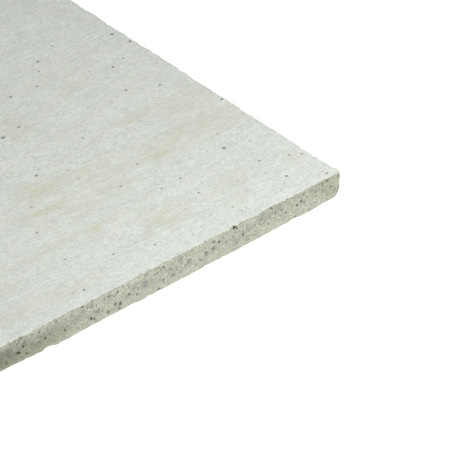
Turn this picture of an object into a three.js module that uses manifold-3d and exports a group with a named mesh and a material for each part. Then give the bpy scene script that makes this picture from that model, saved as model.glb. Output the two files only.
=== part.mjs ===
// Magnesium oxide board: a flat building panel cast in one piece and sawn to size.
// Millimetres, +Z up. The panel lies flat with its moulded face up, its length along X and its
// width along Y, and the origin is the middle of the back face that it lies on.

import * as THREE from "three";
import { mergeVertices } from "three/addons/utils/BufferGeometryUtils.js";
import Module from "manifold-3d";

const wasm = await Module();
wasm.setup();

// Driving dimensions

const panel = {
  length: 1200, // along X, the way the panel was rolled out
  width: 600, // along Y
  thickness: 12, // along Z
};

// The saw leaves square edges, and handling then takes the sharpness off them.
const cornerRadius = 0.8; // each upright edge, seen in plan
const arris = 0.5; // each edge between a face and a sawn side

// One bottom corner, at +X and -Y, has been knocked against something and worn round.
const knockReach = 5.5; // how far the wear runs along each of the corner's three edges

// How finely the round stretches are divided
const cornerSegments = 6; // for each quarter turn in plan
const arrisSegments = 3; // for each quarter turn in section
const knockSegments = 48; // for a full turn of the worn corner

// Solids for cutting

/** A closed three.js geometry as a solid that can be cut. */
function solidFrom(geometry) {
  const bare = geometry.clone().deleteAttribute("normal").deleteAttribute("uv");
  const merged = mergeVertices(bare, 1e-4);
  return new wasm.Manifold(
    new wasm.Mesh({
      numProp: 3,
      vertProperties: merged.getAttribute("position").array,
      triVerts: new Uint32Array(merged.getIndex().array),
    }),
  );
}

/** A cut solid as a flat-shaded three.js geometry. */
function geometryFrom(solid) {
  const { vertProperties, triVerts, numProp } = solid.getMesh();
  const indexed = new THREE.BufferGeometry();
  const interleaved = new THREE.InterleavedBuffer(vertProperties, numProp);
  indexed.setAttribute("position", new THREE.InterleavedBufferAttribute(interleaved, 3, 0));
  indexed.setIndex(new THREE.BufferAttribute(triVerts, 1));
  const geometry = indexed.toNonIndexed();
  geometry.computeVertexNormals();
  return geometry;
}

// The board

/** The plan outline: a rectangle about the origin with its four corners rounded. */
function planOutline({ length, width }, radius) {
  const x = length / 2;
  const y = width / 2;
  const quarter = Math.PI / 2;
  const outline = new THREE.Shape();
  outline.moveTo(-x + radius, -y);
  outline.lineTo(x - radius, -y);
  outline.absarc(x - radius, -y + radius, radius, -quarter, 0);
  outline.lineTo(x, y - radius);
  outline.absarc(x - radius, y - radius, radius, 0, quarter);
  outline.lineTo(-x + radius, y);
  outline.absarc(-x + radius, y - radius, radius, quarter, 2 * quarter);
  outline.lineTo(-x, -y + radius);
  outline.absarc(-x + radius, -y + radius, radius, 2 * quarter, 3 * quarter);
  return outline;
}

/** The whole panel before any damage, with its back face on z = 0. */
function soundPanel() {
  const geometry = new THREE.ExtrudeGeometry(planOutline(panel, cornerRadius), {
    depth: panel.thickness - 2 * arris,
    curveSegments: cornerSegments,
    bevelEnabled: true,
    bevelThickness: arris,
    bevelSize: arris,
    bevelOffset: -arris, // the outline is the widest part, and the faces are inset from it
    bevelSegments: arrisSegments,
  });
  return geometry.translate(0, 0, arris);
}

/**
 * What the knock took away: the corner of a block outside a ball. The ball is as far in from each
 * of the three faces as the wear reaches, so that it meets each edge just where the wear ends.
 */
function knockedOff() {
  const ballRadius = knockReach * Math.SQRT2;
  const corner = new THREE.Vector3(panel.length / 2, -panel.width / 2, 0);
  const inward = new THREE.Vector3(-1, 1, 1).multiplyScalar(knockReach);
  const side = 2 * knockReach;
  const block = new THREE.BoxGeometry(side, side, side);
  const ball = new THREE.SphereGeometry(ballRadius, knockSegments, knockSegments / 2);
  ball.translate(inward.x, inward.y, inward.z);
  const cut = solidFrom(block).subtract(solidFrom(ball));
  return cut.translate(corner.x, corner.y, corner.z);
}

function board() {
  const worn = solidFrom(soundPanel()).subtract(knockedOff());
  const mesh = new THREE.Mesh(
    geometryFrom(worn),
    new THREE.MeshStandardMaterial({ color: 0xd9ded6, roughness: 0.9, metalness: 0 }),
  );
  mesh.name = "board";
  return mesh;
}

const part = new THREE.Group();
part.add(board());

export default part;
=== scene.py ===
# %% [markdown]
# A magnesium oxide board, seen at its worn corner.
# The board is a sheet of magnesium oxide cement with sawdust and perlite in it. It is cast on a
# smooth plastic sheet, rolled out, left to set and then sawn to size. This lesson gives the plain
# packed board its looks: chipped arrises and a rough sawn side as geometry, and one material that
# knows where the moulded skin ends and the sawn core begins.

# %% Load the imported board
import math

import bmesh
import bpy
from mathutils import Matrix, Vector, noise


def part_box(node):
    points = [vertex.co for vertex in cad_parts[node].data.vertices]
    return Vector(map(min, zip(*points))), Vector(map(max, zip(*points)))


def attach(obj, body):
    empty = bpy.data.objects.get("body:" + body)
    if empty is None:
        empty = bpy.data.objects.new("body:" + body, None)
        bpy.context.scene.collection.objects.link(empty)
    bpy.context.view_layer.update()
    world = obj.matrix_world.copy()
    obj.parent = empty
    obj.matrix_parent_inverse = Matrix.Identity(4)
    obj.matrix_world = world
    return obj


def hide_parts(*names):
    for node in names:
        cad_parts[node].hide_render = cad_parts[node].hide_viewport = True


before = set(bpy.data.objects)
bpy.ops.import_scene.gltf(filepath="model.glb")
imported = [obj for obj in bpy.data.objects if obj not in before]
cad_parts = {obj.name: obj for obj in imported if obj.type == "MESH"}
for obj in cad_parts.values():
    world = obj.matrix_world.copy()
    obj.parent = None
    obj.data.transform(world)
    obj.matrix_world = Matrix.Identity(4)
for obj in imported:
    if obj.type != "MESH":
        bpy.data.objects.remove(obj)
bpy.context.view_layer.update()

MM = 0.001  # the scene is in metres, and sizes are written in millimetres

low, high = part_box("board")
length, width, thickness = high - low
print(f"board {length / MM:.0f} by {width / MM:.0f} by {thickness / MM:.0f} mm")

# %% [markdown]
# The camera.
# The far edges of the board hardly draw together in the photograph, so it was taken with a long
# lens from well back. The view looks down on the board's corner at +X and -Y from beyond its long
# front edge. One point on the top face is in the middle of the picture, and the camera is a
# distance back from it along a direction that an azimuth and an elevation give.

# %% Camera
azimuth = math.radians(-41.3)
elevation = math.radians(36.06)
distance = 1366 * MM
aim_from_end = 55.0 * MM  # the point in the middle of the picture, in from the +X end
aim_from_front = 2.4 * MM  # and in from the front edge
aim = Vector((high.x - aim_from_end, low.y + aim_from_front, high.z))
back = Vector(
    (
        math.sin(azimuth) * math.cos(elevation),
        -math.cos(azimuth) * math.cos(elevation),
        math.sin(elevation),
    )
)

camera = bpy.data.objects.new("camera", bpy.data.cameras.new("camera"))
camera.data.sensor_width = 36  # mm, as the lens is
camera.data.lens = 300
camera.data.clip_end = 100  # metres, past the far side of the floor
camera.location = aim + back * distance
camera.rotation_euler = (-back).to_track_quat("-Z", "Y").to_euler()
bpy.context.collection.objects.link(camera)
bpy.context.scene.camera = camera
print("camera at", [round(value, 3) for value in camera.location])

# %% [markdown]
# Two helpers.
# A colour is easiest to choose as a hex code, which is in sRGB, and Blender's sockets want linear
# light, so one function turns it. Another adds a node, sets its properties, fills its inputs with
# values or with links from other nodes, and gives back one of its outputs to link onwards.

# %% Helpers for colours and nodes
def colour(code):
    """A hex colour in sRGB as linear red, green and blue, with full alpha."""
    def linear(value):
        return value / 12.92 if value <= 0.04045 else ((value + 0.055) / 1.055) ** 2.4

    red, green, blue = (int(code[start:start + 2], 16) / 255 for start in (1, 3, 5))
    return linear(red), linear(green), linear(blue), 1.0


def add(tree, kind, inputs=(), output=0, **settings):
    """Adds a node with its settings and with values or links for its inputs. Gives one output."""
    node = tree.nodes.new("ShaderNode" + kind)
    for name, value in settings.items():
        setattr(node, name, value)
    for name, value in dict(inputs).items():
        if isinstance(value, bpy.types.NodeSocket):
            tree.links.new(value, node.inputs[name])
        else:
            node.inputs[name].default_value = value
    return node.outputs[output]


print("half-way grey in sRGB is", round(colour("#808080")[0], 3), "in linear light")

# %% [markdown]
# Floor and light.
# The photograph was taken on white with soft light and shows no shadow. A table top that is lit
# from below, as product studios have, keeps the ground white right up to the board. A small soft
# lamp hangs close over the corner, so the nearest part of the face is the brightest and the face
# falls off into grey away from it. A wide lamp higher up and a white sky fill in the rest.

# %% Floor
floor_size = 120  # metres, so that its far edge is on the horizon in low views
floor_mesh = bmesh.new()
bmesh.ops.create_grid(floor_mesh, x_segments=1, y_segments=1, size=floor_size / 2)
floor = bpy.data.objects.new("floor", bpy.data.meshes.new("floor"))
floor_mesh.to_mesh(floor.data)
floor_mesh.free()
bpy.context.collection.objects.link(floor)

lit_table = bpy.data.materials.new("lit_white_table")
lit_table.use_nodes = True
table_surface = lit_table.node_tree.nodes["Principled BSDF"]
table_surface.inputs["Base Color"].default_value = colour("#D0D0D0")
table_surface.inputs["Roughness"].default_value = 0.9
table_surface.inputs["Specular IOR Level"].default_value = 0.1
table_surface.inputs["Emission Color"].default_value = colour("#FFFFFF")
table_surface.inputs["Emission Strength"].default_value = 0.75
floor.data.materials.append(lit_table)
print("floor", floor_size, "m across")

# %% Sky
sky = bpy.data.worlds.new("white_studio")
sky.use_nodes = True
sky_colour = sky.node_tree.nodes["Background"]
sky_seen, sky_light = 1.0, 0.50  # how bright the sky looks, and how brightly it lights
seen_by_camera = add(sky.node_tree, "LightPath", output="Is Camera Ray")
sky_strength = add(
    sky.node_tree,
    "MapRange",
    {"Value": seen_by_camera, "To Min": sky_light, "To Max": sky_seen},
)
sky.node_tree.links.new(sky_strength, sky_colour.inputs["Strength"])
sky_colour.inputs["Color"].default_value = colour("#FFFFFF")
bpy.context.scene.world = sky
bpy.context.scene.view_settings.view_transform = "Standard"  # colours come out as they were chosen
print("sky lights with a strength of", sky_light)


# %% Lamps
def soft_lamp(name, stand, target, across, power):
    """A round area lamp at a place, pointing at a target. Its power is in watts."""
    lamp = bpy.data.objects.new(name, bpy.data.lights.new(name, "AREA"))
    lamp.data.shape = "DISK"
    lamp.data.size = across
    lamp.data.energy = power
    lamp.location = stand
    lamp.rotation_euler = (target - stand).to_track_quat("-Z", "Y").to_euler()
    lamp.visible_camera = False
    bpy.context.collection.objects.link(lamp)
    print(name, "of", power, "W at", [round(value, 3) for value in stand])


corner_in_view = Vector((high.x, low.y, 0))
soft_lamp(
    "corner_lamp",
    stand=corner_in_view + Vector((0, -115 * MM, 280 * MM)),
    target=corner_in_view + Vector((-50 * MM, 50 * MM, 0)),
    across=200 * MM,
    power=0.46,
)
soft_lamp(
    "room_lamp",
    stand=Vector((-350 * MM, -350 * MM, 1200 * MM)),
    target=Vector((-250 * MM, 0, 0)),
    across=1000 * MM,
    power=2.6,
)

# %% [markdown]
# The plan outline.
# The board could be a cube with a displacement on it, but a fine cube spends most of its faces on
# the middle of the board, where it is flat. All the wear is at the edges, so the board is made as
# its edge first: a loop of short edges round the plan, which is then drawn round the section. The
# loop has finer steps near the corner that the camera looks at.

# %% Outline in plan
corner_radius = 0.4 * MM  # each upright edge, seen in plan
near_reach = 205 * MM  # how far the finer steps run from the corner in view
near_step = 0.6 * MM
far_step = 1.8 * MM


def plan_outline():
    """A loop of edges round the board's plan, on z = 0."""
    mesh = bmesh.new()
    bmesh.ops.create_grid(mesh, x_segments=1, y_segments=1, size=0.5)
    bmesh.ops.scale(mesh, vec=(length, width, 1), verts=mesh.verts)
    bmesh.ops.bevel(
        mesh,
        geom=mesh.verts[:],
        affect="VERTICES",
        offset=corner_radius,
        segments=4,
        profile=0.5,
        material=-1,
    )
    bmesh.ops.delete(mesh, geom=mesh.faces[:], context="FACES_ONLY")
    for cut, normal in (
        (Vector((high.x - near_reach, 0, 0)), Vector((1, 0, 0))),
        (Vector((0, low.y + near_reach, 0)), Vector((0, 1, 0))),
    ):
        loop = mesh.verts[:] + mesh.edges[:]
        bmesh.ops.bisect_plane(mesh, geom=loop, plane_co=cut, plane_no=normal)
    for edge in mesh.edges[:]:
        middle = (edge.verts[0].co + edge.verts[1].co) / 2
        near = middle.x > high.x - near_reach and middle.y < low.y + near_reach
        steps = round(edge.calc_length() / (near_step if near else far_step))
        if steps > 1:
            bmesh.ops.subdivide_edges(mesh, edges=[edge], cuts=steps - 1)
    return mesh


board_mesh = plan_outline()
print("edges round the plan:", len(board_mesh.edges))

# %% [markdown]
# The section.
# A copy of the loop is extruded again and again, each time moved in or up, from a little way in on
# the back face, round the back arris, up the sawn side, round the top arris and a little way in on
# the moulded face. A ring is drawn in by scaling it, so its round corners keep their radius. The
# two rings at the ends are then filled, and the middle of each face is one flat polygon.

# %% Rings round the section
arris_steps = (0.25, 0.5, 0.8, 1.2, 1.8)  # mm from an arris, on the side and on each face
back_steps = (2.6, 3.8, 5.0, 6.5)  # mm further in on the back face, where a corner is worn away
side_rows = 13  # rows of faces between the arris steps


def section():
    """The distance in from the outline and the height of each ring, in metres."""
    side_low = arris_steps[-1] * MM
    side_high = thickness - side_low
    back_face = [(step * MM, 0.0) for step in reversed(arris_steps + back_steps)]
    side = [(0.0, 0.0)]
    side += [(0.0, step * MM) for step in arris_steps]
    side += [(0.0, side_low + (side_high - side_low) * row / side_rows) for row in range(1, side_rows)]
    side += [(0.0, thickness - step * MM) for step in reversed(arris_steps)]
    side += [(0.0, thickness)]
    top_face = [(step * MM, thickness) for step in arris_steps]
    return back_face + side + top_face


def drawn_to(mesh, ring, old, new):
    """Moves a ring's vertices from one place in the section to another."""
    corners = list({vertex for edge in ring for vertex in edge.verts})
    across = [(side - 2 * new[0]) / (side - 2 * old[0]) for side in (length, width)]
    bmesh.ops.scale(mesh, vec=(across[0], across[1], 1), verts=corners)
    bmesh.ops.translate(mesh, vec=(0, 0, new[1] - old[1]), verts=corners)


places = section()
ring = board_mesh.edges[:]
drawn_to(board_mesh, ring, (0.0, 0.0), places[0])
bmesh.ops.edgeloop_fill(board_mesh, edges=ring)
for old, new in zip(places, places[1:]):
    made = bmesh.ops.extrude_edge_only(board_mesh, edges=ring)
    ring = [item for item in made["geom"] if isinstance(item, bmesh.types.BMEdge)]
    drawn_to(board_mesh, ring, old, new)
bmesh.ops.edgeloop_fill(board_mesh, edges=ring)
bmesh.ops.recalc_face_normals(board_mesh, faces=board_mesh.faces)
print("rings:", len(places), "vertices:", len(board_mesh.verts))

# %% [markdown]
# Wear.
# Handling takes the sharpness off every arris and knocks small chips out of it, and the corner in
# view has been worn round, more so below. Bevels would round every arris alike. Here each vertex
# near an arris is pulled onto a round whose radius changes along the board, so one rule gives the
# dulled stretches and the chips, and the same idea with a ball gives the worn corner.

# %% How worn each arris is
dulled = 0.3 * MM  # the usual round of an arris
dull_waves = ((14 * MM, 0.5), (2.3 * MM, 0.8))  # the lengths of its changes, and how strong each is
chip_depth = 2.4 * MM  # radius added where the noise of the chips is at its peak
chip_waves = ((4 * MM, 1.0), (4 / 3 * MM, 0.35))
chip_from = 0.3  # noise above this makes a chip


def waves(place, sizes):
    """Noise of several sizes added up. Each size is a length in metres and a strength."""
    return sum(strength * noise.noise(place / size) for size, strength in sizes)


def arris_radius(point, seed):
    """The radius that wear has given an arris near a point."""
    along = Vector((point.x, point.y, seed))
    chip = max(0.0, waves(along, chip_waves) - chip_from)
    return dulled * (1 + waves(along, dull_waves)) + chip_depth * chip


print(f"an arris is dulled to about {dulled / MM:.1f} mm")

# %% The end that has been handled
end_round = 1.6 * MM  # the round of the top arris at the +X end
end_waves = ((9 * MM, 0.5), (2.6 * MM, 0.5))
end_strip = 5 * MM  # points this near the end belong to its arris
end_fade = 4 * MM  # how far from the corner in view the round takes to come in


def top_radius(point):
    """The radius of the top arris, which is rounder at the +X end."""
    radius = arris_radius(point, seed=2.1)
    if point.x > high.x - end_strip:
        wavering = end_round * (1 + waves(Vector((0, point.y, 0)), end_waves))
        corner_fade = min(1.0, (point.y - low.y) / end_fade)
        radius = max(radius, wavering * corner_fade)
    return radius


print(f"the top arris of the +X end is worn to about {end_round / MM:.1f} mm")

# %% Longer worn stretches of the back arris
front_strip = 10 * MM  # points this near the front belong to its arris

# How far each stretch is from the corner in view, how far it reaches either way, and the radius
# that it is worn to
worn_back_stretches = (
    (3 * MM, 14 * MM, 1.9 * MM),
    (23 * MM, 2.5 * MM, 1.6 * MM),
    (25 * MM, 50 * MM, 0.9 * MM),
    (101 * MM, 2 * MM, 1.3 * MM),
    (140 * MM, 3 * MM, 2.1 * MM),
    (168 * MM, 26 * MM, 2.0 * MM),
)


def back_radius(point):
    """The radius of the back arris, which is worn more in places on the front side."""
    radius = arris_radius(point, seed=7.3)
    if point.y < low.y + front_strip:
        for place, reach, worn in worn_back_stretches:
            off = (high.x - point.x - place) / reach
            if abs(off) < 1:
                radius = max(radius, worn * (1 - off * off) ** 0.5)
    return radius


print("longer worn stretches:", len(worn_back_stretches))

# %% Pulling vertices onto the rounds
knock_reach = 5.5 * MM  # how far the lower corner in view is worn along each of its edges
top_knock_reach = 2.8 * MM  # the same for the corner above it


def edge_distance(point):
    """How far a point is in from the sawn sides, and the direction out of the nearest one."""
    over_x = abs(point.x) - length / 2 + corner_radius
    over_y = abs(point.y) - width / 2 + corner_radius
    if over_x > 0 and over_y > 0:
        reach = math.hypot(over_x, over_y)
        out_x, out_y = over_x / reach, over_y / reach
    else:
        reach = max(over_x, over_y)
        out_x, out_y = float(over_x >= over_y), float(over_x < over_y)
    outward = Vector((math.copysign(out_x, point.x), math.copysign(out_y, point.y), 0))
    return corner_radius - reach, outward


def rounded_over(point):
    """A point near an arris, pulled onto the arris's round."""
    inset, outward = edge_distance(point)
    up = Vector((0, 0, 1))
    for depth, radius, inward in (
        (thickness - point.z, top_radius(point), -up),
        (point.z, back_radius(point), up),
    ):
        across, along = radius - inset, radius - depth
        reach = math.hypot(across, along)
        if across > 0 and along > 0 and reach > radius:
            pull = 1 - radius / reach
            point = point - outward * across * pull + inward * along * pull
    return point


def knocked(point, corner, inward, reach):
    """A point near a corner, pulled onto a ball that meets the corner's edges at a distance."""
    from_corner = Vector(abs(value) for value in point - corner)
    centre = corner + inward * reach
    offset = point - centre
    ball = reach * math.sqrt(2)
    if max(from_corner) < reach and offset.length > ball:
        return centre + offset * (ball / offset.length)
    return point


corner_below = Vector((high.x, low.y, low.z))
corner_above = Vector((high.x, low.y, high.z))
furthest = 0.0
for vertex in board_mesh.verts:
    worn = rounded_over(vertex.co)
    worn = knocked(worn, corner_below, Vector((-1, 1, 1)), knock_reach)
    worn = knocked(worn, corner_above, Vector((-1, 1, -1)), top_knock_reach)
    furthest = max(furthest, (worn - vertex.co).length)
    vertex.co = worn
print(f"the wear goes up to {furthest / MM:.1f} mm deep")

# %% [markdown]
# The sawn side.
# A saw tears grains out of this soft board as much as it cuts them, so a sawn side is a field of
# crumbs and small holes. That relief is half a millimetre deep and it shows in the outline, so it
# is real: every vertex of the side is moved along its normal by noise of three sizes. How far each
# one was pushed in is kept as an attribute, and the material paints shade into the hollows with it.

# %% Rough relief on the sawn side
saw_wander = 0.32 * MM  # how far the cut strays
wander_length = 11 * MM
crumb_relief = 0.16 * MM
crumb_size = 1.9 * MM
crumb_fall, crumb_step, crumb_octaves = 0.6, 2.1, 3  # how finer crumbs weaken and shrink, how many
hole_depth = 0.5 * MM
hole_spacing = 3.4 * MM
hole_radius = 0.8 * MM
hole_steepness = 1.6  # above 1, a hole has a flat floor


def side_relief(point):
    """How far the sawn side is pushed in at a point, in metres, and less than 0 where it is proud."""
    wander = noise.noise(point / wander_length) * saw_wander
    crumbs = noise.fractal(point / crumb_size, crumb_fall, crumb_step, crumb_octaves) * crumb_relief
    spread, _ = noise.voronoi(point / hole_spacing)
    near = 1 - spread[0] * hole_spacing / hole_radius
    hole = hole_depth * min(1.0, hole_steepness * near) if near > 0 else 0.0
    return wander + crumbs + hole


# %% Roughen the side
fade_in = 1.3 * MM  # how far in on the faces the roughness fades out

board_mesh.normal_update()
hollow = board_mesh.verts.layers.float.new("hollow")
moves = []
for vertex in board_mesh.verts:
    inset, _ = edge_distance(vertex.co)
    strength = max(0.0, min(1.0, 1 - inset / fade_in))
    push = side_relief(vertex.co) * strength if strength else 0.0
    vertex[hollow] = push / hole_depth
    moves.append((vertex, vertex.normal * push))
for vertex, move in moves:
    vertex.co -= move
    vertex.co.z = min(max(vertex.co.z, low.z), high.z)  # the faces stay in the board's thickness
pushed = [move.length for _, move in moves if move.length]
print(f"{len(pushed)} vertices roughened, {max(pushed) / MM:.2f} mm at most")

# %% The board's object
board = bpy.data.objects.new("cast_board", bpy.data.meshes.new("cast_board"))
board_mesh.to_mesh(board.data)
board_mesh.free()
board.data.polygons.foreach_set("use_smooth", [True] * len(board.data.polygons))
bpy.context.collection.objects.link(board)
board.data.calc_loop_triangles()
print("triangles:", len(board.data.loop_triangles))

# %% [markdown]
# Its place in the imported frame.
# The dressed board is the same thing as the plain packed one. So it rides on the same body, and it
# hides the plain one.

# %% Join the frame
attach(board, "root")
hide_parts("board")
print(board.name, "stands for the packed board")

# %% [markdown]
# One material for the whole board.
# The face and the side could be two materials on two sets of faces, but the line between them would
# then follow the mesh. In the real board the skin is a thin layer, and it shows wherever the
# surface is less than its thickness below the face. So one material holds both a skin and a core,
# and the depth below the face chooses between them. Cement is not a metal, and it sets matt, so
# only its colour and its relief need nodes.

# %% A material for the cement
cement = bpy.data.materials.new("magnesium_oxide_cement")
cement.use_nodes = True
tree = cement.node_tree
surface = tree.nodes["Principled BSDF"]
surface.inputs["Roughness"].default_value = 0.88
board.data.materials.append(cement)
place = add(tree, "TexCoord", output="Object")
height_up = add(tree, "SeparateXYZ", {"Vector": place}, output="Z")
print("material:", cement.name)

# %% [markdown]
# Near and far.
# The strongest marks that the photograph shows have places of their own, listed one by one. The
# rest of the board is out of its view, and there the same kinds of mark are scattered by noise. A
# socket that grows with the distance from the corner in view says how much of the noise shows.


# %% Where noise takes over
def on_top(along_x, along_y):
    """A place on the top face, from its distances in mm from the corner in view."""
    return high.x - along_x * MM, low.y + along_y * MM, high.z


marks_end = 120 * MM  # noise starts to take over at this distance from the corner in view
noise_full = 220 * MM
noise_near = 0.25  # how much of the noise shows between the placed marks
from_corner = add(tree, "VectorMath", {0: place, 1: on_top(0, 0)}, output="Value", operation="DISTANCE")
growing = {"Value": from_corner, "From Min": marks_end, "From Max": noise_full, "To Min": noise_near}
beyond = add(tree, "MapRange", growing)
print(f"scattered marks are in full from {noise_full / MM:.0f} mm away")

# %% [markdown]
# Tools for the cement's patterns.
# Every pattern here is drawn at its real size, in millimetres, on the board's own coordinates. A few
# things come again and again: noise with a grain of a given size, a tone made of several such
# noises, marks that have a place, spots that are scattered, and thin coats of one colour on another.
# Each has a short function that returns a socket.

# %% Noise and tone
# A smooth step is level at both ends by itself, so the clamp of Map Range, which adds hidden nodes
# to a tree that is long enough already, is off
smooth = {"interpolation_type": "SMOOTHSTEP", "clamp": False}
noise_low, noise_high = 0.25, 0.75  # nearly all of a noise lies between these levels


def cloud(tree, place, sizes, start, end, lowest=0.0, highest=1.0, turn=(0, 0, 0), detail=2.0):
    """Noise whose grain has three sizes in mm, made to go from lowest to highest between two levels."""
    grain = add(
        tree,
        "Mapping",
        {"Vector": place, "Rotation": turn, "Scale": [size * MM for size in sizes]},
        vector_type="TEXTURE",
    )
    level = add(tree, "TexNoise", {"Vector": grain, "Scale": 1, "Detail": detail})
    levels = {"Value": level, "From Min": start, "From Max": end, "To Min": lowest, "To Max": highest}
    return add(tree, "MapRange", levels, **smooth)


def mottled(tree, place, base, layers):
    """A colour made lighter and darker by clouds. Each layer is a grain's sizes in mm and a strength."""
    tone = 1.0
    for sizes, strength in layers:
        level = cloud(tree, place, sizes, noise_low, noise_high, 1 - strength, 1 + strength)
        tone = add(tree, "Math", {0: tone, 1: level}, operation="MULTIPLY")
    return add(tree, "VectorMath", {0: colour(base)[:3], "Scale": tone}, operation="SCALE")


def coated(tree, under, coats):
    """A colour with coats of other colours over it. Each coat is how far it covers and a hex code."""
    for cover, code in coats:
        under = add(tree, "Mix", {0: cover, 6: under, 7: colour(code)}, output=2, data_type="RGBA")
    return under


# %% Marks with places of their own
def shaken(tree, place, size, reach, detail):
    """A place moved by noise of a size in mm, up to about half a reach in mm along each axis.

    What is drawn at it gets a wavering outline.
    """
    grain = {"Vector": place, "Scale": 1 / (size * MM), "Detail": detail}
    shake = add(tree, "TexNoise", grain, output="Color")
    centred = add(tree, "VectorMath", {0: shake, 1: (0.5, 0.5, 0.5)}, operation="SUBTRACT")
    metres = [value * MM for value in reach]
    shift = add(tree, "VectorMath", {0: centred, 1: metres}, operation="MULTIPLY")
    return add(tree, "VectorMath", {0: place, 1: shift})


def marks(tree, place, spots, softness):
    """How far some marks cover a point. Each spot is a centre in metres, three widths in mm, a strength."""
    cover = 0.0
    for centre, widths, strength in spots:
        # The place is moved and stretched so that the mark is a ball of radius 1 about the origin
        stretch = [2 / (width * MM) for width in widths]
        shift = [-where * factor for where, factor in zip(centre, stretch)]
        ball = add(tree, "VectorMath", {0: place, 1: stretch, 2: shift}, operation="MULTIPLY_ADD")
        away = add(tree, "VectorMath", {0: ball}, output="Value", operation="LENGTH")
        rim = {"Value": away, "From Min": 1 + softness, "From Max": 1 - softness, "To Max": strength}
        spot = add(tree, "MapRange", rim, **smooth)
        cover = add(tree, "Math", {0: cover, 1: spot}, operation="MAXIMUM")
    return cover


# %% Scattered spots
smallest_spot, largest_spot = 0.6, 1.3  # as shares of the usual width


def scattered(tree, place, spacing, width, share, strength=1.0):
    """Spots of a width in mm at random places about a spacing apart, of which only a share is there."""
    cells = add(tree, "TexVoronoi", {"Vector": place, "Scale": 1 / (spacing * MM)}).node
    chance = add(tree, "SeparateColor", {"Color": cells.outputs["Color"]}).node
    radius = width / 2 / spacing
    sizes = {"To Min": smallest_spot * radius, "To Max": largest_spot * radius}
    size = add(tree, "MapRange", {"Value": chance.outputs["Green"], **sizes})
    spot = add(tree, "Math", {0: cells.outputs["Distance"], 1: size}, operation="LESS_THAN")
    there = add(tree, "Math", {0: chance.outputs["Red"], 1: share}, operation="LESS_THAN")
    cover = add(tree, "Math", {0: spot, 1: there}, operation="MULTIPLY")
    return add(tree, "Math", {0: cover, 1: strength}, operation="MULTIPLY")


# %% [markdown]
# The moulded skin.
# The face was cast against plastic sheet: magnesium oxide cement, pale, slightly green and matt. It
# has short faint streaks along the board from the roller and the fabric under the skin. A single
# stretched noise would draw stripes, so several clouds of different sizes are laid over each other.
# Each is drawn out along the board, and makes it at most about a tenth lighter or darker.

# %% Tone of the skin
# The grain's sizes in mm along X, Y and Z, and how much lighter and darker it makes the skin
skin_layers = (
    ((9, 1.0, 9), 0.035),
    ((3, 1.2, 9), 0.05),
    ((0.9, 0.75, 9), 0.105),
    ((14, 5, 9), 0.025),
)
skin_height = cloud(tree, place, (3, 1.1, 5), start=0.2, end=0.8, detail=3.0)
skin = mottled(tree, place, "#DDE2DB", skin_layers)
print("nodes with the skin's tone:", len(tree.nodes))

# %% [markdown]
# Stains.
# Where salts and sawdust come near the surface the skin is beige, in patches drawn out along the
# board. A painted mask could hold them, but a material has to go round the whole board. Each stain
# is a soft ball drawn at a shaken place, so that its outline wavers, and fine fibrous noise breaks
# all of them up.

# %% Stains in the skin
mark_height = 10  # mm, the upright width of the marks on the face, more than any wear is deep

# Along X, along Y, length and width, in mm, and strength
beige_stains = (
    (93, 64.5, 16, 9, 0.9), (75, 63, 46, 6, 0.7), (98, 53, 26, 6, 0.9), (68, 54.5, 46, 6, 0.6),
    (70, 48, 14, 12, 0.45), (43, 53, 12, 11, 0.9), (20, 58.5, 52, 7, 0.65), (20, 51, 50, 6, 0.45),
    (5, 55, 14, 12, 0.4), (18, 72.5, 16, 15, 0.65), (5, 73, 14, 14, 0.45), (34, 77.5, 24, 5, 0.7),
    (88, 44, 14, 10, 0.5), (106, 46, 8, 12, 0.5), (102, 33, 56, 4.5, 0.75), (139, 24, 10, 6, 0.5),
    (70, 19.5, 16, 12, 0.85), (36, 22, 12, 9, 0.5), (6.5, 18.5, 9, 8, 0.5), (40, 12, 12, 7, 0.35),
    (122, 9, 20, 5, 0.7), (146, 11, 24, 5.5, 0.7), (75, 101, 12, 14, 0.8), (44, 107, 10, 8, 0.6),
    (31, 111, 8, 6, 0.4), (96, 79, 12, 4, 0.45), (66, 85, 12, 9, 0.25), (20, 95, 16, 12, 0.25),
)

wavering = shaken(tree, place, size=7, reach=(30, 14, 0), detail=3)
spots = [(on_top(x, y), (long, wide, mark_height), strength) for x, y, long, wide, strength in beige_stains]
placed = marks(tree, wavering, spots, softness=0.8)
drawn_out = cloud(tree, place, (45, 7, 45), start=0.5, end=0.78, detail=4.0)
scattered_far = add(tree, "Math", {0: drawn_out, 1: beyond}, operation="MULTIPLY")
together = add(tree, "Math", {0: placed, 1: scattered_far}, operation="MAXIMUM")
fibrous = cloud(tree, place, (9, 1.1, 9), start=0.32, end=0.68, lowest=0.25, highest=0.9, detail=4.0)
stains = add(tree, "Math", {0: together, 1: fibrous}, operation="MULTIPLY")
warmth = cloud(tree, place, (30, 6, 30), start=0.4, end=0.8, highest=0.12, detail=3.0)
skin = coated(tree, skin, ((warmth, "#D3D2BE"), (stains, "#D2D0B8")))
print(len(beige_stains), "stains have their own places")

# %% [markdown]
# Dark grains.
# Grains of dark ash in the cement show as specks about a millimetre wide. The plain ones are marks
# with places of their own, some strong and some faint, and a finer pepper between them is scattered.

# %% Dark grains in the skin
strong_grain, faint_grain = 0.75, 0.4
grain_width = 0.8  # a grain's width across the board, as a share of its width along it

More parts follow.
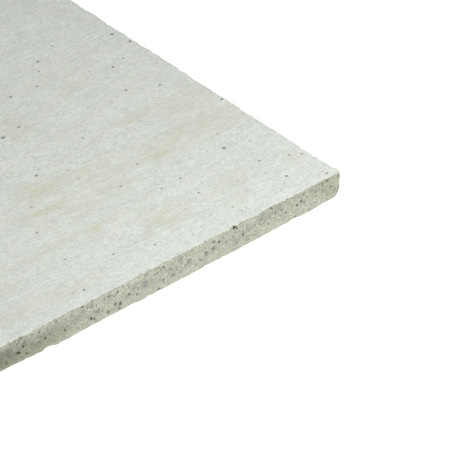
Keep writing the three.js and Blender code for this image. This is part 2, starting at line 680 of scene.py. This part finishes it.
# Along X, along Y and width, in mm
dark_grains = (
    (5, 2, 1.1), (17.5, 10.5, 1.4), (3.5, 17.5, 1.1), (7.5, 20, 1.0), (18.5, 24.5, 1.1), (23, 39.5, 1.6),
    (49, 24, 1.0), (48, 35.5, 1.0), (57.5, 35, 0.9), (68, 46, 0.9), (54, 53, 1.0), (45.5, 9, 0.8),
    (82, 10, 1.0), (97, 15.5, 1.0), (118.5, 6, 1.2), (112, 24.5, 0.9), (109.5, 44, 1.0), (87, 72, 1.4),
    (2, 64.5, 1.3), (58.5, 79.5, 1.0), (13.5, 87.5, 1.2), (25.5, 93.5, 1.2), (19, 109, 1.2),
    (2.5, 118.5, 1.4), (72, 101, 1.2), (49.5, 118, 1.1), (42.5, 125.5, 1.0), (4.5, 127, 1.5),
    (38.5, 131, 1.4), (80.8, 99.5, 1.7), (61.7, 118.9, 1.2),
)
faint_grains = (
    (5.5, 4, 0.9), (25, 5, 1.0), (27.5, 5, 0.8), (42, 5.5, 0.8), (44.5, 5, 0.9), (55, 3.5, 1.0),
    (62, 7.5, 0.8), (67.5, 5.5, 0.9), (86, 16, 1.0), (123, 7, 1.0), (105.5, 28.5, 0.8), (22, 17, 0.9),
    (33, 20.5, 0.8), (12.5, 36.5, 1.1), (57, 38, 0.8), (18.5, 48, 1.2), (70.5, 53, 0.8), (12, 56.5, 1.0),
    (76.5, 60, 0.8), (101, 57.5, 1.2), (76, 67, 0.8), (71.5, 70, 0.8), (2.5, 70.5, 1.1), (48.5, 72, 0.9),
    (35, 73, 0.9), (84, 74.5, 1.0), (80.5, 81, 0.9), (55.5, 82, 0.8), (44, 94, 0.9), (4.5, 100, 1.1),
    (30, 107.5, 1.0), (49, 110, 0.9), (12, 111, 1.1), (28, 112.5, 1.0), (62, 118.5, 0.9), (10, 125, 1.0),
    (10, 127.5, 1.0), (27.5, 136, 1.1),
)

spots = []
for grains, strength in ((dark_grains, strong_grain), (faint_grains, faint_grain)):
    spots += [(on_top(x, y), (wide, wide * grain_width, mark_height), strength) for x, y, wide in grains]
ash = marks(tree, place, spots, softness=0.4)
pepper = scattered(tree, place, spacing=1.6, width=0.55, share=0.35, strength=0.3)
faint = scattered(tree, place, spacing=6, width=0.7, share=0.5, strength=0.35)
strong = scattered(tree, place, spacing=11, width=1.1, share=0.6, strength=0.8)
strong = add(tree, "Math", {0: strong, 1: beyond}, operation="MULTIPLY")
skin = coated(tree, skin, ((pepper, "#8C8578"), (faint, "#5A5D57"), (strong, "#5A5D57"), (ash, "#5A5D57")))
print(len(spots), "grains have their own places")

# %% [markdown]
# The sawn core.
# Under the skin the board is grey: cement with grains of perlite and sawdust, pores, and now and
# then a lump of blue-grey clinker. A crumbly side has strong fine contrast, so its finest cloud is
# the strongest, and the grains are scattered spots in their own colours, while the pores are darker
# spots of painted shade. The lumps that show plainly have places of their own, drawn at a shaken
# place so that they aren't round.

# %% Tone and grains of the core
mark_depth = 3  # mm, how wide the marks on the side are into the board
lump_strength = 0.6


def on_side(along_x, height):
    """A place on the front side, from its distance from the corner in view and its height, in mm."""
    return high.x - along_x * MM, low.y, low.z + height * MM


core_layers = (
    ((0.5, 0.5, 0.5), 0.36),
    ((1.1, 1.1, 1.1), 0.12),
    ((5, 5, 3), 0.12),
    ((30, 30, 8), 0.09),
)

# Spacing and width in mm, the share that is there, strength and colour
core_grains = (
    (1.3, 0.65, 0.35, 0.6, "#DADBCE"),  # perlite
    # The pores are holes, and their shade is painted on as darker spots
    (1.4, 0.7, 0.5, 0.65, "#85866F"),  # pores
    (4.3, 0.8, 0.5, 0.5, "#A08A70"),  # sawdust
    (7.9, 2.6, 0.2, 0.35, "#969C9E"),  # clinker
)

# Along X, height and width, in mm
clinker_lumps = (
    (95.5, 6.5, 3.4), (74.3, 6.3, 2.5), (76, 5.8, 1.4), (78.5, 9.2, 2.4), (158, 7.4, 3.0),
    (153, 10.8, 1.6), (151.5, 7.9, 1.8), (39, 10, 1.5), (120, 8.8, 1.9), (114, 9.2, 1.2),
    (117, 5.3, 1.6), (80.5, 5.8, 1.4), (89.3, 8.7, 1.3), (57, 6.7, 1.1), (53, 7.4, 1.4),
    (48.5, 7.2, 1.2), (155, 2, 1.4), (100.7, 7.4, 1.4), (112, 9.4, 1.3), (40.5, 6.6, 1.1),
    (32.5, 5.6, 1.0), (144.5, 5.3, 1.4), (94.5, 10.6, 1.2), (124, 9, 1.1), (71, 3.1, 1.1),
    (6.6, 4.2, 1.1), (3.2, 4.5, 1.0),
)

crumbs = cloud(tree, place, (0.8, 0.8, 0.8), start=0.2, end=0.8, detail=3.0)
core = mottled(tree, place, "#BABCAC", core_layers)
uneven = shaken(tree, place, size=1.3, reach=(0.9, 0.9, 0.9), detail=2)
coats = [
    (scattered(tree, place, spacing, across, share, strength), code)
    for spacing, across, share, strength, code in core_grains
]
spots = [(on_side(x, z), (wide, mark_depth, wide), lump_strength) for x, z, wide in clinker_lumps]
coats.append((marks(tree, uneven, spots, softness=0.5), "#858B8C"))
core = coated(tree, core, coats)
print(len(clinker_lumps), "lumps of clinker have their own places")

# %% [markdown]
# Patches on the side.
# The side is darker in places away from the corner in view, and olive in two places. A patch could
# be a coat of another colour, but a darker patch dims whatever is there and doesn't hide it. So
# both kinds are made as masks here. After the finer layer is in, the olive is laid on as a thin coat,
# and the darker patches bring more dark grains and are multiplied over the core.

# %% Where the side is darker or olive
patch_depth = 6  # mm, how wide the patches are into the board

# The side is painted darker in the first patches and olive in the others
# Along X, height, length, tall, in mm, and strength
darker_patches = ((156, 4.5, 46, 9, 0.45), (184, 5, 70, 11, 0.95))
olive_patches = ((3.5, 7.5, 11, 9, 0.3), (142, 3, 26, 4, 0.3))

masks = []
for patches in (darker_patches, olive_patches):
    spots = [(on_side(x, z), (long, patch_depth, tall), strength) for x, z, long, tall, strength in patches]
    masks.append(marks(tree, place, spots, softness=0.6))
darkened, olive = masks

darkening_cloud = cloud(tree, place, (110, 110, 20), start=0.52, end=0.72, highest=0.7)
far_only = add(tree, "Math", {0: beyond, 1: 3.0}, operation="POWER")
darkening_far = add(tree, "Math", {0: darkening_cloud, 1: far_only}, operation="MULTIPLY")
darkened = add(tree, "Math", {0: darkened, 1: darkening_far}, operation="MAXIMUM")
print(len(darker_patches), "damp and", len(olive_patches), "olive patches")

# %% [markdown]
# The finer layer.
# The third of the thickness next to the back is a finer and paler mix. Its upper edge wavers, so
# it is measured by a height that noise has shifted, and it goes over into the core softly.

# %% Finer layer next to the back
layer_full, layer_gone = 2.6 * MM, 5.0 * MM  # heights between which the layer goes over into the core
layer_waver = 1.4 * MM  # how far its edge strays either way
layer_strength = 0.5

layer = mottled(tree, place, "#C7C6B5", (((0.7, 0.7, 0.7), 0.16), ((5, 5, 1.0), 0.07)))
waver = cloud(tree, place, (9, 9, 3), noise_low, noise_high, -layer_waver, layer_waver)
edge_height = add(tree, "Math", {0: height_up, 1: waver}, operation="ADD")
heights = {
    "Value": edge_height,
    "From Min": layer_gone,
    "From Max": layer_full,
    "To Max": layer_strength,
}
fine = add(tree, "MapRange", heights, **smooth)
core = add(tree, "Mix", {0: fine, 6: core, 7: layer}, output=2, data_type="RGBA")
print("nodes with the finer layer:", len(tree.nodes))

# %% Darker patches and olive colours
core = coated(tree, core, ((olive, "#A7AA8D"),))
dark_grain = scattered(tree, place, spacing=1.6, width=0.95, share=0.6, strength=0.7)
dark_grain = add(tree, "Math", {0: dark_grain, 1: darkened}, operation="MULTIPLY")
core = coated(tree, core, ((dark_grain, "#7C8072"),))
# The darker patches are multiplied over the core as a darker colour
darkening_mix = {0: darkened, 6: core, 7: colour("#A9AD9A")}
core = add(tree, "Mix", darkening_mix, output=2, data_type="RGBA", blend_type="MULTIPLY")
print("nodes with the damp:", len(tree.nodes))

# %% [markdown]
# Saw marks.
# The saw left fine lines that slant down towards the corner in view. They are a cloud drawn out
# into lines and turned, and they show only where the blade rubbed: at the corner, and in some
# places further on.

# %% Saw marks
saw_slant = (0, math.radians(26), 0)
saw_marks = cloud(tree, place, (7, 7, 0.5), start=0.5, end=0.66, highest=0.4, turn=saw_slant)
at_corner = marks(tree, place, [(on_side(1, 6), (20, 20, 30), 1.0)], softness=0.4)
elsewhere = cloud(tree, place, (60, 60, 60), start=0.55, end=0.7)
where_rubbed = add(tree, "Math", {0: at_corner, 1: elsewhere}, operation="MAXIMUM")
saw_marks = add(tree, "Math", {0: saw_marks, 1: where_rubbed}, operation="MULTIPLY")
print("nodes with the saw marks:", len(tree.nodes))

# %% [markdown]
# Painted shade in the pits.
# The saw pulled grains out, and the holes that they left lie in shade, which is painted on as dark
# spots. The black ones have places of their own, small ones are scattered, and painted shade darkens
# the hollows of the relief by the attribute that was kept when the side was roughened.

# %% Painted shade in the pits of the side
pit_shade_strength = 0.85

# Along X, height and width, in mm
black_pit_shades = (
    (52.5, 11.2, 1.7), (120.5, 3.4, 1.3), (107, 3.5, 1.1), (103, 5.7, 1.1), (151.5, 6.7, 1.1),
    (153.5, 5.1, 1.4), (124.5, 11, 1.1), (108, 9.2, 0.9), (19.7, 7.2, 1.1), (66.5, 11.7, 0.9),
    (48.5, 5.8, 0.9), (150, 3.2, 0.9), (141.5, 5.6, 1.1), (86.5, 9.7, 0.9), (51.4, 10, 0.9),
    (60, 8.2, 0.9), (27, 5.5, 0.7), (29.3, 7.8, 0.7),
)

spots = [(on_side(x, z), (wide, mark_depth, wide), pit_shade_strength) for x, z, wide in black_pit_shades]
pit_shades = marks(tree, uneven, spots, softness=0.35)
small = scattered(tree, uneven, spacing=4.1, width=0.85, share=0.35, strength=0.6)
pit_shades = add(tree, "Math", {0: pit_shades, 1: small}, operation="MAXIMUM")
# The hollows of the relief get painted shade by how far they were pushed in
hollow_level = add(tree, "Attribute", output="Fac", attribute_name="hollow")
shading = {"Value": hollow_level, "From Min": 0.25, "From Max": 1.0, "To Max": 0.5}
shaded = add(tree, "MapRange", shading, **smooth)
pit_shades = add(tree, "Math", {0: pit_shades, 1: shaded}, operation="MAXIMUM")
# Painted shade goes into the pits and the hollows of the relief
core = coated(tree, core, ((saw_marks, "#8B8D7F"), (pit_shades, "#3C3E38")))
core_height = add(tree, "Math", {0: crumbs, 1: pit_shades}, operation="SUBTRACT")
print(len(black_pit_shades), "pits have their own places")

# %% [markdown]
# The skin over the core.
# Wherever wear or a chip goes deeper than the skin is thick, the core shows by itself. The skin
# breaks unevenly, so noise moves that depth a little up and down, and the broken edge of the skin
# is slightly warmer than its face.

# %% Skin over core
skin_thickness = 0.45 * MM
skin_raggedness = 0.25 * MM  # how far the skin's broken edge strays either way
edge_blur = 0.06 * MM  # half the depth over which the skin turns into core
broken_start, broken_full = 0.03 * MM, 0.2 * MM  # depths at which the broken skin starts and is full

ragged = cloud(
    tree,
    place,
    (1.6, 1.6, 1.6),
    start=0.3,
    end=0.7,
    lowest=-skin_raggedness,
    highest=skin_raggedness,
    detail=3.0,
)
skin_depth = add(tree, "Math", {0: high.z, 1: height_up}, operation="SUBTRACT")
ragged_depth = add(tree, "Math", {0: skin_depth, 1: ragged}, operation="ADD")
turning = {
    "Value": ragged_depth,
    "From Min": skin_thickness - edge_blur,
    "From Max": skin_thickness + edge_blur,
}
is_core = add(tree, "MapRange", turning, **smooth)
breaking = {"Value": skin_depth, "From Min": broken_start, "From Max": broken_full, "To Max": 0.5}
broken = add(tree, "MapRange", breaking, **smooth)
skin = coated(tree, skin, ((broken, "#D2D3C3"),))
board_colour = add(tree, "Mix", {0: is_core, 6: skin, 7: core}, output=2, data_type="RGBA")
tree.links.new(board_colour, surface.inputs["Base Color"])
print(f"the core shows from about {skin_thickness / MM:.2f} mm below the face")

# %% Fine relief
skin_relief, core_relief = 0.05 * MM, 0.35 * MM

skin_bump = add(tree, "Math", {0: skin_height, 1: skin_relief}, operation="MULTIPLY")
core_bump = add(tree, "Math", {0: core_height, 1: core_relief}, operation="MULTIPLY")
relief = add(tree, "Mix", {0: is_core, 2: skin_bump, 3: core_bump})
bumpy = add(tree, "Bump", {"Height": relief, "Distance": 1.0, "Strength": 1.0})
tree.links.new(bumpy, surface.inputs["Normal"])
print("nodes in the cement:", len(tree.nodes))
